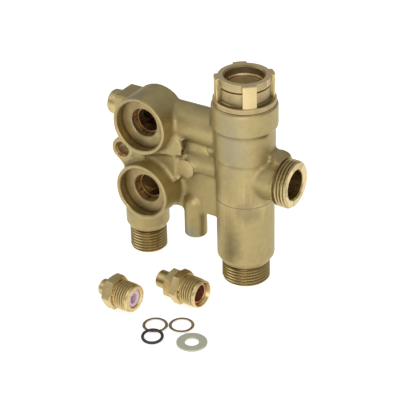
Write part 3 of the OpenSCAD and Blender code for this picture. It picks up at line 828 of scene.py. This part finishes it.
class VALVE_OT_small_union(bpy.types.Operator):
    """Small reducing union with its flow restrictor"""

    bl_idname = "valve.small_union"
    bl_label = "Small union"

    def execute(self, context):
        length = 22.6
        base, along = laid_line(SMALL_UNION_AT, SMALL_UNION_TURN, length)
        spigot = [(0, 0), (3.9, 0), (4.55, 0.7), (4.55, 5.6), (4.9, 6.4), (0, 6.4)]
        piece = turned(spigot, base, along)
        combine(piece, lens_hexagon(sizes().union_flats, 6.2, 12.2, base, along), "UNION")
        combine(piece, union_thread(12.2, length, base, along), "UNION")
        bore = [(0, -1), (3.0, -1), (2.5, 0.5), (2.5, length - 8), (4.95, length - 8),
                (4.95, length - 0.6), (5.5, length + 0.1), (0, length + 0.1)]
        combine(piece, turned(bore, base, along), "DIFFERENCE")
        deliver(piece, "small_union_nut", "small_union", "machined_brass", "union_brass",
                "small_union")
        ring = [(2.75, length - 8), (4.9, length - 8), (4.9, length - 1.2), (4.6, length - 0.8),
                (3.2, length - 0.7), (2.75, length - 1.1)]
        deliver(turned(ring, base, along, ring=True), "restrictor_ring", "small_union",
                "pink_plastic", "pink_plastic", "flow_restrictor")
        core = [(0.8, length - 8), (2.65, length - 8), (2.65, length - 3.4), (2.1, length - 3.2),
                (1.9, length - 2.1), (1.2, length - 2.1), (0.8, length - 2.5)]
        deliver(turned(core, base, along, ring=True), "restrictor_heart", "small_union",
                "pale_plastic", "lilac_plastic", "restrictor_core")
        return {"FINISHED"}


class VALVE_OT_large_union(bpy.types.Operator):
    """Large union: nut, tail and copper sleeve"""

    bl_idname = "valve.large_union"
    bl_label = "Large union"

    def execute(self, context):
        length = 29
        base, along = laid_line(LARGE_UNION_AT, LARGE_UNION_TURN, length)
        nut = lens_hexagon(sizes().union_flats, 12.8, 18.0, base, along)
        combine(nut, union_thread(18.0, length, base, along), "UNION")
        bore = [(0, 11), (5, 11), (5, 17.8), (3.5, 17.8), (3.5, 19), (5.8, 19), (5.8, 26),
                (6.9, length + 0.1), (0, length + 0.1)]
        combine(nut, turned(bore, base, along), "DIFFERENCE")
        deliver(nut, "large_union_nut", "large_union", "machined_brass", "union_brass",
                "large_union")
        tail = turned([(0, 0), (4.2, 0), (4.95, 0.8), (4.95, 7.4), (5.3, 8.2), (0, 8.2)], base,
                      along)
        tail_turn = FLAT_DOWN + 21
        combine(tail, lens_hexagon(15.6, 8, 12.8, base, along, tail_turn), "UNION")
        combine(tail, turned([(0, 12), (4.95, 12), (4.95, 17.6), (0, 17.6)], base, along), "UNION")
        hole = [(0, -1), (4.1, -1), (3.5, 0.6), (3.5, 20), (0, 20)]
        combine(tail, turned(hole, base, along), "DIFFERENCE")
        deliver(tail, "large_union_tail", "large_union", "machined_brass", "union_brass",
                "union_tail")
        sleeve = [(4.7, 19), (5.75, 19), (5.75, 26.7), (5.4, 27), (4.95, 27), (4.7, 26.7)]
        deliver(turned(sleeve, base, along, ring=True), "copper_sleeve", "large_union", "copper",
                "copper", "union_olive")
        return {"FINISHED"}


# ------------------------------------------------------------------ loose seals

def flat_ring(outer, inner, thick, edge):
    """Outline of a flat ring with softened edges, standing on the floor."""
    return [(inner, edge), (inner + edge, 0), (outer - edge, 0), (outer, edge),
            (outer, thick - edge), (outer - edge, thick), (inner + edge, thick),
            (inner, thick - edge)]


def floor_middle(node):
    low, high = corner(node, 0), corner(node, 1)
    return Vector(((low.x + high.x) / 2, (low.y + high.y) / 2, 0))


class VALVE_OT_seals(bpy.types.Operator):
    """Loose seals: two flat rings, an O-ring and a fibre washer"""

    bl_idname = "valve.seals"
    bl_label = "Loose seals"

    def execute(self, context):
        for side in ("left", "right"):
            node = "bonded_washer_" + side
            ring = turned(flat_ring(6.9, 5.2, 1.0, 0.16), floor_middle(node), ring=True)
            deliver(ring, "flat_ring_" + side, "washer_" + side, "bronze_washer", "washer_metal",
                    node)
        disc = turned(flat_ring(8.2, 3.7, 1.2, 0.22), floor_middle("fibre_washer"), ring=True)
        deliver(disc, "fibre_disc", "flat_washer", "fibre", "fibre", "fibre_washer")
        cord, inner, lean = 1.6, 8.9, math.radians(6)
        low, high = corner("loose_oring", 0), corner("loose_oring", 1)
        middle = (low + high) / 2
        towards = math.atan2(10.2, -5.1)    # heading of the flat ring that it leans on
        up = Vector((-math.sin(lean) * math.cos(towards), -math.sin(lean) * math.sin(towards),
                     math.cos(lean)))
        circle = [((inner + cord) / 2 + cord / 2 * math.cos(a), cord / 2 * math.sin(a))
                  for a in [2 * math.pi * i / 20 for i in range(20)]]
        deliver(turned(circle, middle, up, ring=True), "rubber_ring", "oring", "rubber",
                "rubber", "loose_oring")
        return {"FINISHED"}


# ------------------------------------------------------------------ inner parts

class VALVE_OT_inner_parts(bpy.types.Operator):
    """Finishes of the cartridge and the other parts that keep their CAD shape"""

    bl_idname = "valve.inner_parts"
    bl_label = "Inner parts"

    def execute(self, context):
        for part in frame["record"]["subparts"]:
            mesh = frame["nodes"][part["node"]].data
            finish = bpy.data.materials[SLOT_FINISH[part["material_slot"]]]
            mesh.materials.clear()
            mesh.materials.append(finish)
        return {"FINISHED"}


# ------------------------------------------------------------------ stage

def make_floor():
    """White floor that stays pale under the valve."""
    tree, shader = new_finish("floor_white", (0.9, 0.9, 0.9), 0.9, 0.0)
    shader.inputs["Emission Color"].default_value = (1, 1, 1, 1)
    shader.inputs["Emission Strength"].default_value = 0.62
    shape = bmesh.new()
    bmesh.ops.create_grid(shape, x_segments=1, y_segments=1, size=4000)
    bmesh.ops.translate(shape, vec=(0, 0, -0.05), verts=shape.verts)
    bmesh.ops.scale(shape, vec=(MM,) * 3, verts=shape.verts)
    mesh = bpy.data.meshes.new("floor")
    shape.to_mesh(mesh)
    shape.free()
    mesh.materials.append(bpy.data.materials["floor_white"])
    floor = bpy.data.objects.new("floor", mesh)
    bpy.context.scene.collection.objects.link(floor)


def softbox(name, spot, size, power):
    """Large area light that faces the valve's middle."""
    light = bpy.data.lights.new(name, "AREA")
    light.shape = "SQUARE"
    light.size = size
    light.energy = power
    lamp = bpy.data.objects.new(name, light)
    aim = Vector((-0.03, 0, 0.05))
    lamp.location = spot
    lamp.rotation_euler = (aim - Vector(spot)).to_track_quat("-Z", "Y").to_euler()
    bpy.context.scene.collection.objects.link(lamp)


def make_camera():
    """Long lens that looks down on the valve from its front right."""
    heading, tilt, roll = 0.578511, 0.523049, -0.025495
    data = bpy.data.cameras.new("camera")
    data.lens = 146.9
    data.sensor_width = 36
    camera = bpy.data.objects.new("camera", data)
    pose = Matrix.Rotation(heading, 4, "Z") @ Matrix.Rotation(math.pi / 2 - tilt, 4, "X")
    pose = pose @ Matrix.Rotation(roll, 4, "Z")
    camera.matrix_world = Matrix.Translation((0.3984, -0.6552, 0.4906)) @ pose
    bpy.context.scene.collection.objects.link(camera)
    bpy.context.scene.camera = camera


# name, place and size in metres, power in watts
LIGHTS = (
    ("light_left", (-0.9, -0.5, 0.8), 0.9, 2.5),
    ("light_right", (0.9, -0.6, 0.8), 0.8, 2.3),
    ("light_front", (0.35, -1.1, 0.35), 0.7, 4.5),
    ("light_top", (0.0, 0.3, 1.4), 1.2, 2.5),
)


class VALVE_OT_stage(bpy.types.Operator):
    """Floor, soft lights, surroundings and camera"""

    bl_idname = "valve.stage"
    bl_label = "Stage"

    def execute(self, context):
        make_floor()
        for light in LIGHTS:
            softbox(*light)
        world = bpy.data.worlds.new("surroundings")
        world.use_nodes = True
        sky = world.node_tree.nodes["Background"]
        sky.inputs["Color"].default_value = (1, 1, 1, 1)
        sky.inputs["Strength"].default_value = 0.40
        context.scene.world = world
        context.scene.view_settings.view_transform = "Standard"
        make_camera()
        return {"FINISHED"}


# ------------------------------------------------------------------ add-on

PIECES = (VALVE_OT_finishes, VALVE_OT_casting, VALVE_OT_threads, VALVE_OT_collar,
          VALVE_OT_small_union, VALVE_OT_large_union, VALVE_OT_seals, VALVE_OT_inner_parts,
          VALVE_OT_stage)


class VALVE_PT_panel(bpy.types.Panel):
    """Lists the valve's pieces in the sidebar"""

    bl_idname = "VALVE_PT_panel"
    bl_label = "Diverter valve"
    bl_space_type = "VIEW_3D"
    bl_region_type = "UI"
    bl_category = "Valve"

    def draw(self, context):
        for piece in PIECES:
            self.layout.operator(piece.bl_idname)


CLASSES = (ValveSizes, ValveColours, *PIECES, VALVE_PT_panel)


def register():
    for item in CLASSES:
        bpy.utils.register_class(item)
    bpy.types.Scene.valve_sizes = PointerProperty(type=ValveSizes)
    bpy.types.Scene.valve_colours = PointerProperty(type=ValveColours)


def unregister():
    del bpy.types.Scene.valve_colours
    del bpy.types.Scene.valve_sizes
    for item in reversed(CLASSES):
        bpy.utils.unregister_class(item)


def main():
    register()
    bpy.ops.valve.finishes()
    bpy.ops.valve.casting()
    bpy.ops.valve.threads()
    bpy.ops.valve.collar()
    bpy.ops.valve.small_union()
    bpy.ops.valve.large_union()
    bpy.ops.valve.seals()
    bpy.ops.valve.inner_parts()
    bpy.ops.valve.stage()


if __name__ == "__main__":
    main()
